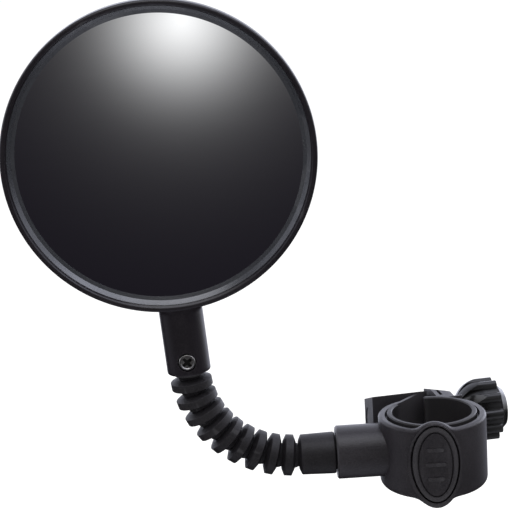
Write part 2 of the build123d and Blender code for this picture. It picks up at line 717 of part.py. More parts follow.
mid = GLASS_R * 0.5
with BuildPart() as mirror_glass:
    with BuildSketch(side_plane):
        with BuildLine():
            Line((0, glass_front(0) - GLASS_T), (0, glass_front(0)))
            ThreePointArc((0, glass_front(0)), (mid, glass_front(mid)), (GLASS_R, glass_front(GLASS_R)))
            Line((GLASS_R, glass_front(GLASS_R)), (GLASS_R, glass_front(GLASS_R) - GLASS_T))
            ThreePointArc((GLASS_R, glass_front(GLASS_R) - GLASS_T), (mid, glass_front(mid) - GLASS_T),
                          (0, glass_front(0) - GLASS_T))
        make_face()
    revolve(axis=normal_line)

mirror_glass.part.label = "mirror_glass"
export_step(mirror_glass.part, "parts/mirror_glass.step")

pad_mid = (PAD_IN_R + GLASS_R) / 2
with BuildPart() as adhesive_pad:
    with BuildSketch(side_plane):
        with BuildLine():
            Polyline((GLASS_R, glass_front(GLASS_R) - GLASS_T), (GLASS_R, LEDGE_W), (PAD_IN_R, LEDGE_W),
                     (PAD_IN_R, glass_front(PAD_IN_R) - GLASS_T))
            ThreePointArc((PAD_IN_R, glass_front(PAD_IN_R) - GLASS_T),
                          (pad_mid, glass_front(pad_mid) - GLASS_T),
                          (GLASS_R, glass_front(GLASS_R) - GLASS_T))
        make_face()
    revolve(axis=normal_line)

adhesive_pad.part.label = "adhesive_pad"
export_step(adhesive_pad.part, "parts/adhesive_pad.step")

bezel_mid = (GLASS_SIGHT_R + GLASS_R) / 2
with BuildPart() as retaining_ring:
    with BuildSketch(side_plane):
        with BuildLine():
            Polyline((LIP_IN_R, LIP_W - LIP_CHAMFER), (LIP_IN_R, glass_front(GLASS_R) - 1.0),
                     (GLASS_R, glass_front(GLASS_R) - 1.0), (GLASS_R, glass_front(GLASS_R)))
            ThreePointArc((GLASS_R, glass_front(GLASS_R)), (bezel_mid, glass_front(bezel_mid)),
                          (GLASS_SIGHT_R, glass_front(GLASS_SIGHT_R)))
            Polyline((GLASS_SIGHT_R, glass_front(GLASS_SIGHT_R)), (BEZEL_STEP_R, BEZEL_STEP_W),
                     (LIP_IN_R, LIP_W - LIP_CHAMFER))
        make_face()
    revolve(axis=normal_line)

retaining_ring.part.label = "retaining_ring"
export_step(retaining_ring.part, "parts/retaining_ring.step")
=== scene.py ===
import json
import math

import bmesh
import bpy
from mathutils import Matrix, Vector


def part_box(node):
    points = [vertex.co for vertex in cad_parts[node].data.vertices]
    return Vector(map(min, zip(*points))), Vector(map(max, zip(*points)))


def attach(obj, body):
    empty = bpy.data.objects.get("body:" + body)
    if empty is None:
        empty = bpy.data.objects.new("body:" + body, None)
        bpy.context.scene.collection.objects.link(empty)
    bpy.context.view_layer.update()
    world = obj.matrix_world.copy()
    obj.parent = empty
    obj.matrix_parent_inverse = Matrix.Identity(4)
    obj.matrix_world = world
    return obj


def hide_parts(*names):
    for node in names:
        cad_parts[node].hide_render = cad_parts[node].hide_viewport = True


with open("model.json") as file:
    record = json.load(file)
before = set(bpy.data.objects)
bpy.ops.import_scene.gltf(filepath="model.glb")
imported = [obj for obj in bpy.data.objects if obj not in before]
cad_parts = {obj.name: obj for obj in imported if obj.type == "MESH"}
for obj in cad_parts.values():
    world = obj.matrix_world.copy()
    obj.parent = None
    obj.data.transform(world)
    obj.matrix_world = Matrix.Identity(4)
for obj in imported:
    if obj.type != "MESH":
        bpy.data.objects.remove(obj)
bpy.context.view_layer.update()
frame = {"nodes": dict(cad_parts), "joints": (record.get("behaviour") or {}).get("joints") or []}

MM = 0.001

# ---------------------------------------------------------------- dimensions
# The neck profile, in millimetres from a cup centre along the arm
LIP = 0.70
FACE = 1.75
CUP_R = 3.63
HUB_R = 3.95
RIB_R = 5.75
RIB_TOP = 2.05
SLEEVE_R_OUT = 5.85
SLEEVE_R_IN = 5.6
TUBE_END = 27.2
SPIGOT_R = 4.68
BALL_R = 3.60
BALL_FLAT = 2.0
CUP_FLAT = 2.6
SLEEVE_GAP = 0.3
SLEEVE_EDGE = 0.3
SPIGOT_EDGE = 0.5
SCREW_HOLE_R = 1.5
SCREW_HOLE_LEN = 8.0

# The head, in millimetres from the mirror's centre along its normal
HEAD_R = 42.09
LIP_IN_R = 40.3
LIP_W = 4.5
SIGHT_R = 38.3
GLASS_R = 39.6
GLASS_CURVE = 400.0
GLASS_T = 2.0
GLASS_EDGE_W = 1.4
HEAD_BACK = -9.5
SHELL_WALL = 2.0
LEDGE_W = -2.6
LEDGE_IN_R = 35.0
BEZEL_STEP_R = 39.3
BEZEL_STEP_W = 1.85
BEZEL_SEAT_R = 39.0
BEZEL_DEPTH = 1.0
BEZEL_SEAM = 0.02
RIM_LOW = 0.6
RIM_STEP = 0.5
RIM_ROWS = 6
LIP_CHAMFER_W = 3.2
LIP_PEAK_R = 41.25
LIP_TURN = math.radians(132.0)
STEM_R = 6.0
STEM_BORE_R = 4.25
STEM_BORE_LEN = 9.9
STEM_STOP = 32.0
STEM_FILLET = 1.6
STEM_GAP = 0.15
STEM_END_ROUND = 0.35
STEM_END_MID = 0.1
STEM_BORE_EDGE = 0.2
STEM_TAIL_ROUND = 4.0
SCREW_SEAT_R = 2.45
SCREW_SEAT_HEIGHT = 4.7
SEAT_EDGE = 0.13
SEAT_CREST = 0.03
SEAT_MARGIN = 0.5

HEAD_AXIS = Vector((0, -1, 0))
STEM_DIR = math.radians(86.0)

nodes = frame["nodes"]
joints = {j["name"]: j for j in frame["joints"]}
glass_low, glass_high = (Vector(c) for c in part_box("mirror_glass"))
GLASS_CROWN = GLASS_EDGE_W + GLASS_CURVE - math.sqrt(GLASS_CURVE ** 2 - SIGHT_R ** 2)
HEAD_CENTRE = Vector(((glass_low.x + glass_high.x) / 2, glass_low.y + GLASS_CROWN * MM,
                      (glass_low.z + glass_high.z) / 2))
BEND = [Vector(joints[f"bend_{i:02d}"]["pos_m"]) for i in range(1, 11)]
STEM_AXIS = Vector((-math.cos(STEM_DIR), 0, math.sin(STEM_DIR)))


# ---------------------------------------------------------------- node helpers
class Tree:
    """A small wrapper that adds and joins shader nodes."""

    def __init__(self, material):
        self.tree = material.node_tree
        self.tree.nodes.clear()

    def add(self, kind, values=None, **settings):
        node = self.tree.nodes.new(kind)
        for key, value in settings.items():
            setattr(node, key, value)
        for key, value in (values or {}).items():
            node.inputs[key].default_value = value
        return node

    def link(self, source, target):
        self.tree.links.new(source, target)

    def noise(self, vector, scale, detail=4.0, rough=0.55):
        node = self.add("ShaderNodeTexNoise", {"Scale": scale, "Detail": detail, "Roughness": rough})
        self.link(vector, node.inputs["Vector"])
        return node.outputs["Fac"]

    def ramp(self, source, stops):
        node = self.add("ShaderNodeValToRGB")
        points = node.color_ramp.elements
        points[0].position, points[0].color = stops[0][0], grey(stops[0][1])
        points[1].position, points[1].color = stops[-1][0], grey(stops[-1][1])
        for place, value in stops[1:-1]:
            points.new(place).color = grey(value)
        self.link(source, node.inputs["Fac"])
        return node.outputs["Color"]

    def math(self, operation, a, b):
        node = self.add("ShaderNodeMath", operation=operation)
        for socket, value in zip(node.inputs, (a, b)):
            if isinstance(value, (int, float)):
                socket.default_value = value
            else:
                self.link(value, socket)
        return node.outputs[0]

    def remap(self, source, low, high, start=0.0, end=1.0):
        node = self.add("ShaderNodeMapRange", {"From Min": start, "From Max": end,
                                               "To Min": low, "To Max": high})
        self.link(source, node.inputs["Value"])
        return node.outputs["Result"]

    def stretched(self, vector, scale, rotation=(0.0, 0.0, 0.0)):
        node = self.add("ShaderNodeMapping", {"Scale": scale, "Rotation": rotation})
        self.link(vector, node.inputs["Vector"])
        return node.outputs["Vector"]

    def mix(self, factor, first, second):
        """A colour between two; each is a socket, a grey level or three numbers."""
        node = self.add("ShaderNodeMix", data_type="RGBA")
        self.link(factor, node.inputs[0])
        for socket, value in ((node.inputs[6], first), (node.inputs[7], second)):
            if isinstance(value, bpy.types.NodeSocket):
                self.link(value, socket)
            else:
                socket.default_value = grey(value)
        return node.outputs[2]

    def relief(self, height, shader, strength, distance):
        """Small relief on a shader, from a height."""
        node = self.add("ShaderNodeBump", {"Strength": strength, "Distance": distance})
        self.link(height, node.inputs["Height"])
        self.link(node.outputs["Normal"], shader.inputs["Normal"])

    def by_ray(self, plain, reflected):
        """One shader for glossy rays and another for every other ray."""
        node = self.add("ShaderNodeMixShader")
        self.link(self.add("ShaderNodeLightPath").outputs["Is Glossy Ray"], node.inputs[0])
        self.link(plain, node.inputs[1])
        self.link(reflected, node.inputs[2])
        return node.outputs[0]

    def surface(self, shader, kind="ShaderNodeOutputMaterial"):
        self.link(shader, self.add(kind).inputs["Surface"])


def grey(value):
    """A colour of four numbers from one grey level, or from three numbers."""
    if isinstance(value, (int, float)):
        return (value, value, value, 1.0)
    return (*value, 1.0)


def new_material(name):
    material = bpy.data.materials.new(name)
    material.use_nodes = True
    return material


# ---------------------------------------------------------------- materials
FLOW_SCALE = (260.0, 1900.0, 260.0)
FLOW_TURN = (0.3, 0.7, 0.2)
WORN_COLOUR = (0.30, 0.30, 0.32)
GRAIN_DEPTH = 0.0001
LATHE_DEPTH = 0.00004


def moulded_plastic(name, dark, light, rough, grain=0.35, grain_scale=2600.0, worn=0.05, spec=0.4):
    """Injection-moulded plastic: mottled colour, sparkle grain, flow lines, scuffs and paler worn edges."""
    material = new_material(name)
    t = Tree(material)
    coords = t.add("ShaderNodeTexCoord").outputs["Object"]
    mottle = t.noise(coords, 90.0, 5.0)
    cloud = t.noise(coords, 28.0, 3.0)
    fine = t.noise(coords, grain_scale, 2.0, 0.6)
    lines = t.stretched(coords, FLOW_SCALE, FLOW_TURN)
    scuff = t.ramp(t.noise(lines, 1.0, 3.0, 0.7), ((0.60, 0.0), (0.74, 1.0)))
    speckle = t.math("ADD", t.math("MULTIPLY", mottle, 0.4), t.math("MULTIPLY", fine, 0.6))
    colour = t.mix(t.ramp(speckle, ((0.40, 0.0), (0.62, 1.0))), dark, light)
    edge = t.add("ShaderNodeNewGeometry").outputs["Pointiness"]
    wear = t.math("MULTIPLY", t.ramp(edge, ((0.52, 0.0), (0.60, 1.0))), worn)
    base = t.add("ShaderNodeBsdfPrincipled", {"IOR": 1.5, "Specular IOR Level": spec})
    t.link(t.mix(wear, colour, WORN_COLOUR), base.inputs["Base Color"])
    rough_level = t.remap(cloud, rough - 0.06, rough + 0.08, 0.3, 0.7)
    scuffed = t.math("ADD", rough_level, t.math("MULTIPLY", scuff, 0.10))
    t.link(scuffed, base.inputs["Roughness"])
    height = t.math("ADD", t.math("MULTIPLY", fine, grain), t.math("MULTIPLY", mottle, 0.25))
    t.relief(height, base, 0.7, GRAIN_DEPTH)
    t.surface(base.outputs["BSDF"])
    return material


def metal(name, dark, light, rough, brushed=(3000.0, 200.0, 200.0)):
    """Plated or turned metal: fine lathe lines in its gloss and relief, and stains in the plating."""
    material = new_material(name)
    t = Tree(material)
    coords = t.add("ShaderNodeTexCoord").outputs["Object"]
    lines = t.noise(t.stretched(coords, brushed), 1.0, 3.0, 0.7)
    stain = t.ramp(t.noise(coords, 420.0, 4.0), ((0.35, 0.0), (0.65, 1.0)))
    base = t.add("ShaderNodeBsdfPrincipled", {"Metallic": 1.0})
    t.link(t.mix(stain, dark, light), base.inputs["Base Color"])
    t.link(t.remap(lines, rough - 0.08, rough + 0.12, 0.3, 0.7), base.inputs["Roughness"])
    t.relief(lines, base, 0.25, LATHE_DEPTH)
    t.surface(base.outputs["BSDF"])
    return material


def mirror_coating(name):
    """Silvered convex glass with faint dust and wiping marks in its gloss."""
    material = new_material(name)
    t = Tree(material)
    coords = t.add("ShaderNodeTexCoord").outputs["Object"]
    dust = t.ramp(t.noise(coords, 900.0, 2.0, 0.6), ((0.66, 0.0), (0.80, 1.0)))
    wipe = t.noise(t.stretched(coords, (60.0, 60.0, 240.0), (0.0, 0.6, 0.0)), 1.0, 4.0, 0.6)
    base = t.add("ShaderNodeBsdfPrincipled", {"Metallic": 1.0})
    t.link(t.mix(wipe, (0.90, 0.91, 0.915), (0.94, 0.945, 0.95)), base.inputs["Base Color"])
    gloss = t.math("ADD", t.remap(wipe, 0.015, 0.045, 0.3, 0.7), t.math("MULTIPLY", dust, 0.03))
    t.link(gloss, base.inputs["Roughness"])
    t.surface(base.outputs["BSDF"])
    return material


def foam(name):
    """Closed-cell foam: small cells in colour and relief."""
    material = new_material(name)
    t = Tree(material)
    coords = t.add("ShaderNodeTexCoord").outputs["Object"]
    cells = t.add("ShaderNodeTexVoronoi", {"Scale": 1800.0})
    t.link(coords, cells.inputs["Vector"])
    base = t.add("ShaderNodeBsdfPrincipled", {"Roughness": 0.95})
    t.link(t.ramp(cells.outputs["Distance"], ((0.0, 0.02), (0.8, 0.07))), base.inputs["Base Color"])
    t.relief(cells.outputs["Distance"], base, 0.6, GRAIN_DEPTH)
    t.surface(base.outputs["BSDF"])
    return material


HOUSING = moulded_plastic("housing_plastic", (0.0066, 0.0054, 0.0074), (0.0120, 0.0100, 0.0130),
                          0.29, spec=0.34)
CLAMP = moulded_plastic("clamp_plastic", (0.0120, 0.0106, 0.0130), (0.0220, 0.0198, 0.0235),
                        0.36, grain=0.8, spec=0.32)
KNOB = moulded_plastic("knob_plastic", (0.0038, 0.0037, 0.0038), (0.0064, 0.0063, 0.0064),
                       0.16, grain=0.25, spec=0.32)
NECK = moulded_plastic("neck_plastic", (0.0065, 0.0058, 0.0070), (0.0150, 0.0138, 0.0160),
                       0.48, grain=0.9, spec=0.22)
LINER = moulded_plastic("liner_plastic", (0.0030, 0.0022, 0.0028), (0.0060, 0.0046, 0.0055),
                        0.45, grain=0.5, spec=0.25)
# the retaining ring is the same black plastic as the housing; its colour is painted lighter and bluish, a
# painted sheen standing in for the bright reflections on its bevels
BEZEL_PAINTED_SHEEN = moulded_plastic("bezel_plastic_painted_sheen", (0.0240, 0.0252, 0.0300), (0.0345, 0.0362, 0.0420),
                        0.22, spec=0.8)
STEEL = metal("dark_steel", (0.035, 0.033, 0.032), (0.09, 0.085, 0.08), 0.38)
BRIGHT = metal("zinc_steel", (0.26, 0.25, 0.24), (0.42, 0.41, 0.39), 0.36)
BRASS = metal("turned_brass", (0.62, 0.45, 0.18), (0.78, 0.60, 0.30), 0.28)
MIRROR = mirror_coating("silvered_glass")
FOAM = foam("closed_cell_foam")


# ---------------------------------------------------------------- mesh helpers
ON_AXIS = 1e-6


def paint(obj, material):
    """Gives a piece one material."""
    obj.data.materials.clear()
    obj.data.materials.append(material)


def soften(obj, width, segments=3, angle=28.0):
    """Rounds the edges of a piece as moulding does, and shades it smooth."""
    for face in obj.data.polygons:
        face.use_smooth = True
    bevel = obj.modifiers.new("edges", "BEVEL")
    bevel.width = width * MM
    bevel.segments = segments
    bevel.limit_method = "ANGLE"
    bevel.angle_limit = math.radians(angle)
    bevel.harden_normals = True


def side_of(axis):
    """A unit vector across an axis."""
    guide = Vector((0, 1, 0)) if abs(axis.y) < 0.9 else Vector((1, 0, 0))
    return (guide - axis * guide.dot(axis)).normalized()


def skin(bm, rings, closed=False):
    """Faces between rings of points; a ring of one point closes the end."""
    pairs = list(zip(rings, rings[1:]))
    if closed and len(rings[0]) > 1 and len(rings[-1]) > 1:
        pairs.append((rings[-1], rings[0]))
    count = max(len(ring) for ring in rings)
    for first, second in pairs:
        for i in range(count):
            j = (i + 1) % count
            corner = [first[i % len(first)], first[j % len(first)],
                      second[j % len(second)], second[i % len(second)]]
            unique = list(dict.fromkeys(corner))
            if len(unique) > 2:
                bm.faces.new(unique)
    bmesh.ops.recalc_face_normals(bm, faces=bm.faces)
    if bm.calc_volume(signed=True) < 0:
        bmesh.ops.reverse_faces(bm, faces=bm.faces)


def to_mesh(bm, name):
    """The finished mesh of a working mesh, which is freed."""
    mesh = bpy.data.meshes.new(name)
    bm.to_mesh(mesh)
    bm.free()
    return mesh


def place(name, data):
    """A new object in the scene."""
    obj = bpy.data.objects.new(name, data)
    bpy.context.scene.collection.objects.link(obj)
    return obj


def lathe(name, profile, origin, axis, segments=128, closed=True):
    """Turns (distance along axis, radius) points, in millimetres, about an axis through origin."""
    axis = axis.normalized()
    across = side_of(axis)
    third = axis.cross(across)
    bm = bmesh.new()
    rings = []
    for along, radius in profile:
        if radius < ON_AXIS:
            rings.append([bm.verts.new(origin + axis * along * MM)])
            continue
        ring = []
        for i in range(segments):
            turn = 2 * math.pi * i / segments
            spoke = across * math.cos(turn) + third * math.sin(turn)
            ring.append(bm.verts.new(origin + axis * along * MM + spoke * radius * MM))
        rings.append(ring)
    skin(bm, rings, closed)
    return place(name, to_mesh(bm, name))


def arc(centre, radius, start, end, steps):
    """Points of an arc in (along, radius) space; angles in degrees from the axis."""
    points = []
    for i in range(steps + 1):
        turn = math.radians(start + (end - start) * i / steps)
        points.append((centre + radius * math.cos(turn), radius * math.sin(turn)))
    return points


def stand_in(obj, body, material, slot, *cad_nodes):
    """The piece rides on its body, takes its material and stands for its CAD nodes."""
    paint(obj, material)
    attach(obj, body)
    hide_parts(*cad_nodes)


# ---------------------------------------------------------------- neck
PITCH = (BEND[1] - BEND[0]).length / MM
FLANK = (PITCH - FACE + LIP - RIB_TOP) / 2


def cup_points():
    """The cup, from its rim to the middle of its floor."""
    rim = math.degrees(math.acos(-LIP / CUP_R))
    floor = math.degrees(math.acos(CUP_FLAT / CUP_R))
    return arc(0.0, CUP_R, rim, floor, 16) + [(CUP_FLAT, 0.0)]


def ball_points(centre):
    """The ball, from the middle of its flat to where it leaves the link."""
    tip = math.degrees(math.acos(BALL_FLAT / BALL_R))
    root = math.degrees(math.acos(-FACE / BALL_R))
    return [(centre + BALL_FLAT, 0.0)] + arc(centre, BALL_R, tip, root, 20)


def rib_points():
    """The rib from the ball side to the cup side."""
    return [(PITCH - FACE, HUB_R), (PITCH - FACE - FLANK, RIB_R),
            (-LIP + FLANK, RIB_R), (-LIP, HUB_R)]


def neck_link(number):
    """One link: a ball, a rib round its waist and a cup for the link before it."""
    start, end = BEND[number - 1], BEND[number]
    outside = ball_points(PITCH) + rib_points()
    obj = lathe(f"link_{number:02d}", outside + cup_points(), start, end - start, 96)
    soften(obj, 0.09, angle=20.0)
    stand_in(obj, f"link_{number:02d}", NECK, "neck_plastic", f"neck_link_{number:02d}")


for number in range(1, 10):
    neck_link(number)

ROOT_HIGH = Vector(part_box("neck_root_plug")[1])


def root_plug():
    """The plug that turns in the clamp's tube: first ball, sleeve, spigot and screw hole."""
    first = -BEND[0].x / MM
    sleeve_end = TUBE_END + SLEEVE_GAP
    spigot_end = -ROOT_HIGH.x / MM
    profile = ball_points(first)
    profile += [(first - FACE, HUB_R), (first - FACE - FLANK, SLEEVE_R_IN),
                (sleeve_end + SLEEVE_EDGE, SLEEVE_R_OUT), (sleeve_end, SLEEVE_R_OUT - SLEEVE_EDGE),
                (sleeve_end, SPIGOT_R), (spigot_end + SPIGOT_EDGE, SPIGOT_R),
                (spigot_end, SPIGOT_R - SPIGOT_EDGE), (spigot_end, SCREW_HOLE_R),
                (spigot_end + SCREW_HOLE_LEN, SCREW_HOLE_R), (spigot_end + SCREW_HOLE_LEN, 0.0)]
    obj = lathe("root_plug", profile, Vector((0, 0, 0)), Vector((-1, 0, 0)), 128)
    soften(obj, 0.18, angle=20.0)
    stand_in(obj, "arm", NECK, "neck_plastic", "neck_root_plug")


root_plug()


# ---------------------------------------------------------------- head
def crown(radius):
    """Height of the convex face at a radius, in millimetres along the mirror's normal."""
    return GLASS_CROWN - (GLASS_CURVE - math.sqrt(GLASS_CURVE ** 2 - radius ** 2))


def glass():
    """The convex mirror, silvered all over."""
    steps = 24
    radii = [GLASS_R * i / steps for i in range(steps + 1)]
    front = [(crown(r), r) for r in radii]
    back = [(crown(r) - GLASS_T, r) for r in reversed(radii)]
    obj = lathe("glass", front + back, HEAD_CENTRE, HEAD_AXIS, 192, closed=False)
    soften(obj, 0.1, segments=2, angle=40.0)
    stand_in(obj, "head", MIRROR, "mirror", "mirror_glass")


def bezel():
    """The retaining ring: a shallow inner bevel, a steep outer one, and a skirt round the glass."""
    skirt = crown(GLASS_R) - BEZEL_DEPTH
    profile = [(LIP_CHAMFER_W, LIP_IN_R), (skirt, LIP_IN_R), (skirt, GLASS_R),
               (crown(GLASS_R), GLASS_R), (crown(BEZEL_SEAT_R), BEZEL_SEAT_R), (crown(SIGHT_R), SIGHT_R),
               (BEZEL_STEP_W, BEZEL_STEP_R), (LIP_CHAMFER_W, LIP_IN_R - BEZEL_SEAM)]
    obj = lathe("bezel", profile, HEAD_CENTRE, HEAD_AXIS, 256)
    soften(obj, 0.12, angle=15.0)
    # the ring's pale bluish colour is painted sheen over black plastic
    stand_in(obj, "head", BEZEL_PAINTED_SHEEN, "black_plastic", "retaining_ring")


glass()
bezel()


def curve(points, start_slope, end_slope, steps):
    """A smooth line through points, with the given directions at its two ends."""
    slopes = [Vector(start_slope)]
    slopes += [(points[i + 1] - points[i - 1]).normalized() for i in range(1, len(points) - 1)]
    slopes.append(Vector(end_slope).normalized())
    line = []
    for i in range(len(points) - 1):
        reach = (points[i + 1] - points[i]).length
        for k in range(steps):
            f = k / steps
            line.append(points[i] * (2 * f ** 3 - 3 * f ** 2 + 1)
                        + points[i + 1] * (3 * f ** 2 - 2 * f ** 3)
                        + slopes[i] * reach * (f ** 3 - 2 * f ** 2 + f)
                        + slopes[i + 1] * reach * (f ** 3 - f ** 2))
    return line


# the shell's back as (radius, height along the normal), and its inside as (height, radius)
BACK_POINTS = [Vector((0, HEAD_BACK)), Vector((20, HEAD_BACK + 0.9)), Vector((34, -6.0)),
               Vector((HEAD_R, RIM_LOW))]
SHELL_BACK = curve(BACK_POINTS, (1, 0), (0.15, 1), 14)
SHELL_INSIDE = [(LIP_CHAMFER_W, LIP_IN_R), (LEDGE_W, LIP_IN_R), (LEDGE_W, LEDGE_IN_R),
                (-4.2, 33.0), (-6.6, 20.0), (HEAD_BACK + SHELL_WALL, 0.0)]
LIP_STEPS = 12


def shell_points():
    """Outline of the shell from the middle of its back, over the lip and down to its inside."""
    points = [(v.y, v.x) for v in SHELL_BACK]
    points += [(RIM_LOW + RIM_STEP * i, HEAD_R) for i in range(RIM_ROWS)]
    round_r = HEAD_R - LIP_PEAK_R
    for i in range(1, LIP_STEPS + 1):
        turn = LIP_TURN * i / LIP_STEPS
        points.append((LIP_W - round_r + round_r * math.sin(turn), LIP_PEAK_R + round_r * math.cos(turn)))
    return points + SHELL_INSIDE


def head_coords(point):
    """Radius from the head's axis and height along its normal, in millimetres."""
    offset = (point - HEAD_CENTRE) / MM
    return math.hypot(offset.x, offset.z), -offset.y


def shell_gap(point):
    """Distance from a point outside the shell to its outer wall; zero inside it."""
    radius, height = head_coords(point)
    if height > RIM_LOW:
        return max(0.0, radius - HEAD_R)
    here = Vector((radius, height))
    nearest = min(range(len(SHELL_BACK)), key=lambda i: (SHELL_BACK[i] - here).length)
    best = SHELL_BACK[nearest]
    after = SHELL_BACK[min(nearest + 1, len(SHELL_BACK) - 1)]
    before = SHELL_BACK[max(nearest - 1, 0)]
    along = (after - before).normalized()
    outward = Vector((along.y, -along.x))
    return max(0.0, (here - best).dot(outward))


screw_low, screw_high = (Vector(c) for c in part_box("stem_screw"))
SCREW_CENTRE = Vector(((screw_low.x + screw_high.x) / 2, 0, (screw_low.z + screw_high.z) / 2))
STEM_ROOT = Vector((HEAD_CENTRE.x, 0, HEAD_CENTRE.z))
STEM_END = BEND[9] + STEM_AXIS * STEM_GAP * MM
STEM_LEN = (STEM_ROOT - STEM_END).length / MM
SEAT_END = (SCREW_CENTRE - STEM_END).length / MM + SCREW_SEAT_R + SEAT_MARGIN
STEM_WALL_R = STEM_BORE_R + 1
LIP_CLEAR = 0.35
RIM_WALL = 0.8
LEDGE_CLEAR = 0.4


def stem_point(along, turn, radius, flared=True):
    """A point of the stem's wall, pushed out into a fillet near the shell."""
    across = side_of(STEM_AXIS)
    spoke = across * math.cos(turn) + STEM_AXIS.cross(across) * math.sin(turn)
    base = STEM_END + STEM_AXIS * along * MM
    point = base + spoke * radius * MM
    offset = (point - SCREW_CENTRE) / MM
    reach = math.hypot(offset.x, offset.z)
    if radius > STEM_WALL_R and point.y < 0 and reach < SCREW_SEAT_R + SEAT_EDGE:
        # the screw's seat: points near its wall move onto the wall's top or bottom edge
        sunk = reach < SCREW_SEAT_R
        crest = SCREW_SEAT_R + (0.0 if sunk else SEAT_CREST)
        snapped = reach if reach < SCREW_SEAT_R - SEAT_EDGE else crest
        stretch = snapped / max(reach, ON_AXIS)
        point.x = SCREW_CENTRE.x + offset.x * stretch * MM
        point.z = SCREW_CENTRE.z + offset.z * stretch * MM
        if sunk:
            point.y = max(point.y, -SCREW_SEAT_HEIGHT * MM)
        return point
    if flared:
        gap = shell_gap(point)
        if gap < STEM_FILLET:
            sideways = 1.0 - max(0.0, -spoke.y) ** 2
            flare = STEM_FILLET - math.sqrt(STEM_FILLET ** 2 - (STEM_FILLET - gap) ** 2)
            point += spoke * flare * sideways * MM
        lip_side = HEAD_CENTRE.y - (LIP_W - LIP_CLEAR) * MM
        if point.y < lip_side:
            point.y = lip_side
        if head_coords(point)[0] < HEAD_R - RIM_WALL:
            point.y = max(point.y, HEAD_CENTRE.y - (LEDGE_W - LEDGE_CLEAR) * MM)
    return point


WALL_START = 1.0
FILLET_ZONE = 2.5
FINE_STEP = 0.2
COARSE_STEP = 0.6
TAIL_STEPS = 12
STEM_SEGMENTS = 240


def stem_rows():
    """Rows of the stem from its bore to its tail: place along it, radius, and whether it may flare."""
    rows = [(STEM_BORE_LEN, 0.0, False), (STEM_BORE_LEN, STEM_BORE_R, False),
            (STEM_BORE_EDGE, STEM_BORE_R, False), (0.0, STEM_BORE_R + STEM_BORE_EDGE, False),
            (0.0, STEM_R - STEM_END_ROUND, False), (STEM_END_MID, STEM_R - STEM_END_MID, False),
            (STEM_END_ROUND, STEM_R, False)]
    wall_end = STEM_LEN - STEM_STOP - STEM_TAIL_ROUND
    along = WALL_START
    while along < wall_end:
        rows.append((along, STEM_R, True))
        fine = along > STEM_LEN - HEAD_R - FILLET_ZONE or along < SEAT_END
        along += FINE_STEP if fine else COARSE_STEP
    for i in range(1, TAIL_STEPS + 1):
        turn = math.pi / 2 * i / TAIL_STEPS
        rows.append((wall_end + STEM_TAIL_ROUND * math.sin(turn), STEM_R * math.cos(turn), True))
    return rows


def stem_mesh():
    """Tube of the stem: bore, rounded end, wall with its fillet, and a rounded tail on the shell's back."""
    bm = bmesh.new()
    rings = []
    turns = [2 * math.pi * i / STEM_SEGMENTS for i in range(STEM_SEGMENTS)]
    for along, radius, flared in stem_rows():
        if radius < ON_AXIS:
            rings.append([bm.verts.new(STEM_END + STEM_AXIS * along * MM)])
        else:
            rings.append([bm.verts.new(stem_point(along, turn, radius, flared)) for turn in turns])
    skin(bm, rings)
    return to_mesh(bm, "stem")


def housing():
    """Shell and stem in one moulding, with the screw's seat sunk into the stem."""
    stem = stem_mesh()
    shell = lathe("housing", shell_points(), HEAD_CENTRE, HEAD_AXIS, 256, closed=False)
    bm = bmesh.new()
    bm.from_mesh(shell.data)
    bm.from_mesh(stem)
    bm.to_mesh(shell.data)
    bm.free()
    bpy.data.meshes.remove(stem)
    for face in shell.data.polygons:
        face.use_smooth = True
    shell.data.set_sharp_from_angle(angle=math.radians(40.0))
    stand_in(shell, "head", HOUSING, "black_plastic", "mirror_housing")


housing()

SCREW_R = 2.25
SCREW_TOP = 5.9
SCREW_SHANK_R = 0.95
SCREW_TIP = -3.4
SCREW_EDGE = 0.3
SCREW_RIM_R = 1.80
SCREW_DISH_R = 1.62
SCREW_DISH = 0.22
# faces deeper than this below the screw's top take the darker steel: painted shade in the cross recess
SCREW_SHADE_DEPTH = 0.26
CROSS_TURN = math.radians(40.0)
CROSS_HALF = 0.40
CROSS_REACH = 1.42
CROSS_FLOOR = 5.0
CROSS_ROOT = 1.25
CROSS_TAPER = 0.35
SCREW_SEGMENTS = 160
SCREW_RINGS = 36


def screw_height(radius, turn):
    """Height of the screw's head above the stem's axis, with its rim, dish and cross recess."""
    x = abs(radius * math.cos(turn - CROSS_TURN))
    y = abs(radius * math.sin(turn - CROSS_TURN))
    arm = CROSS_HALF * (CROSS_ROOT - CROSS_TAPER * max(x, y) / CROSS_REACH)
    if min(x, y) < arm and max(x, y) < CROSS_REACH:
        return CROSS_FLOOR
    if radius < SCREW_DISH_R:
        return SCREW_TOP - SCREW_DISH
    if radius < SCREW_RIM_R:
        return SCREW_TOP - SCREW_DISH * (SCREW_RIM_R - radius) / (SCREW_RIM_R - SCREW_DISH_R)
    drop = max(0.0, radius - (SCREW_R - SCREW_EDGE)) / SCREW_EDGE
    return SCREW_TOP - SCREW_EDGE * (1.0 - math.sqrt(max(0.0, 1.0 - drop * drop)))


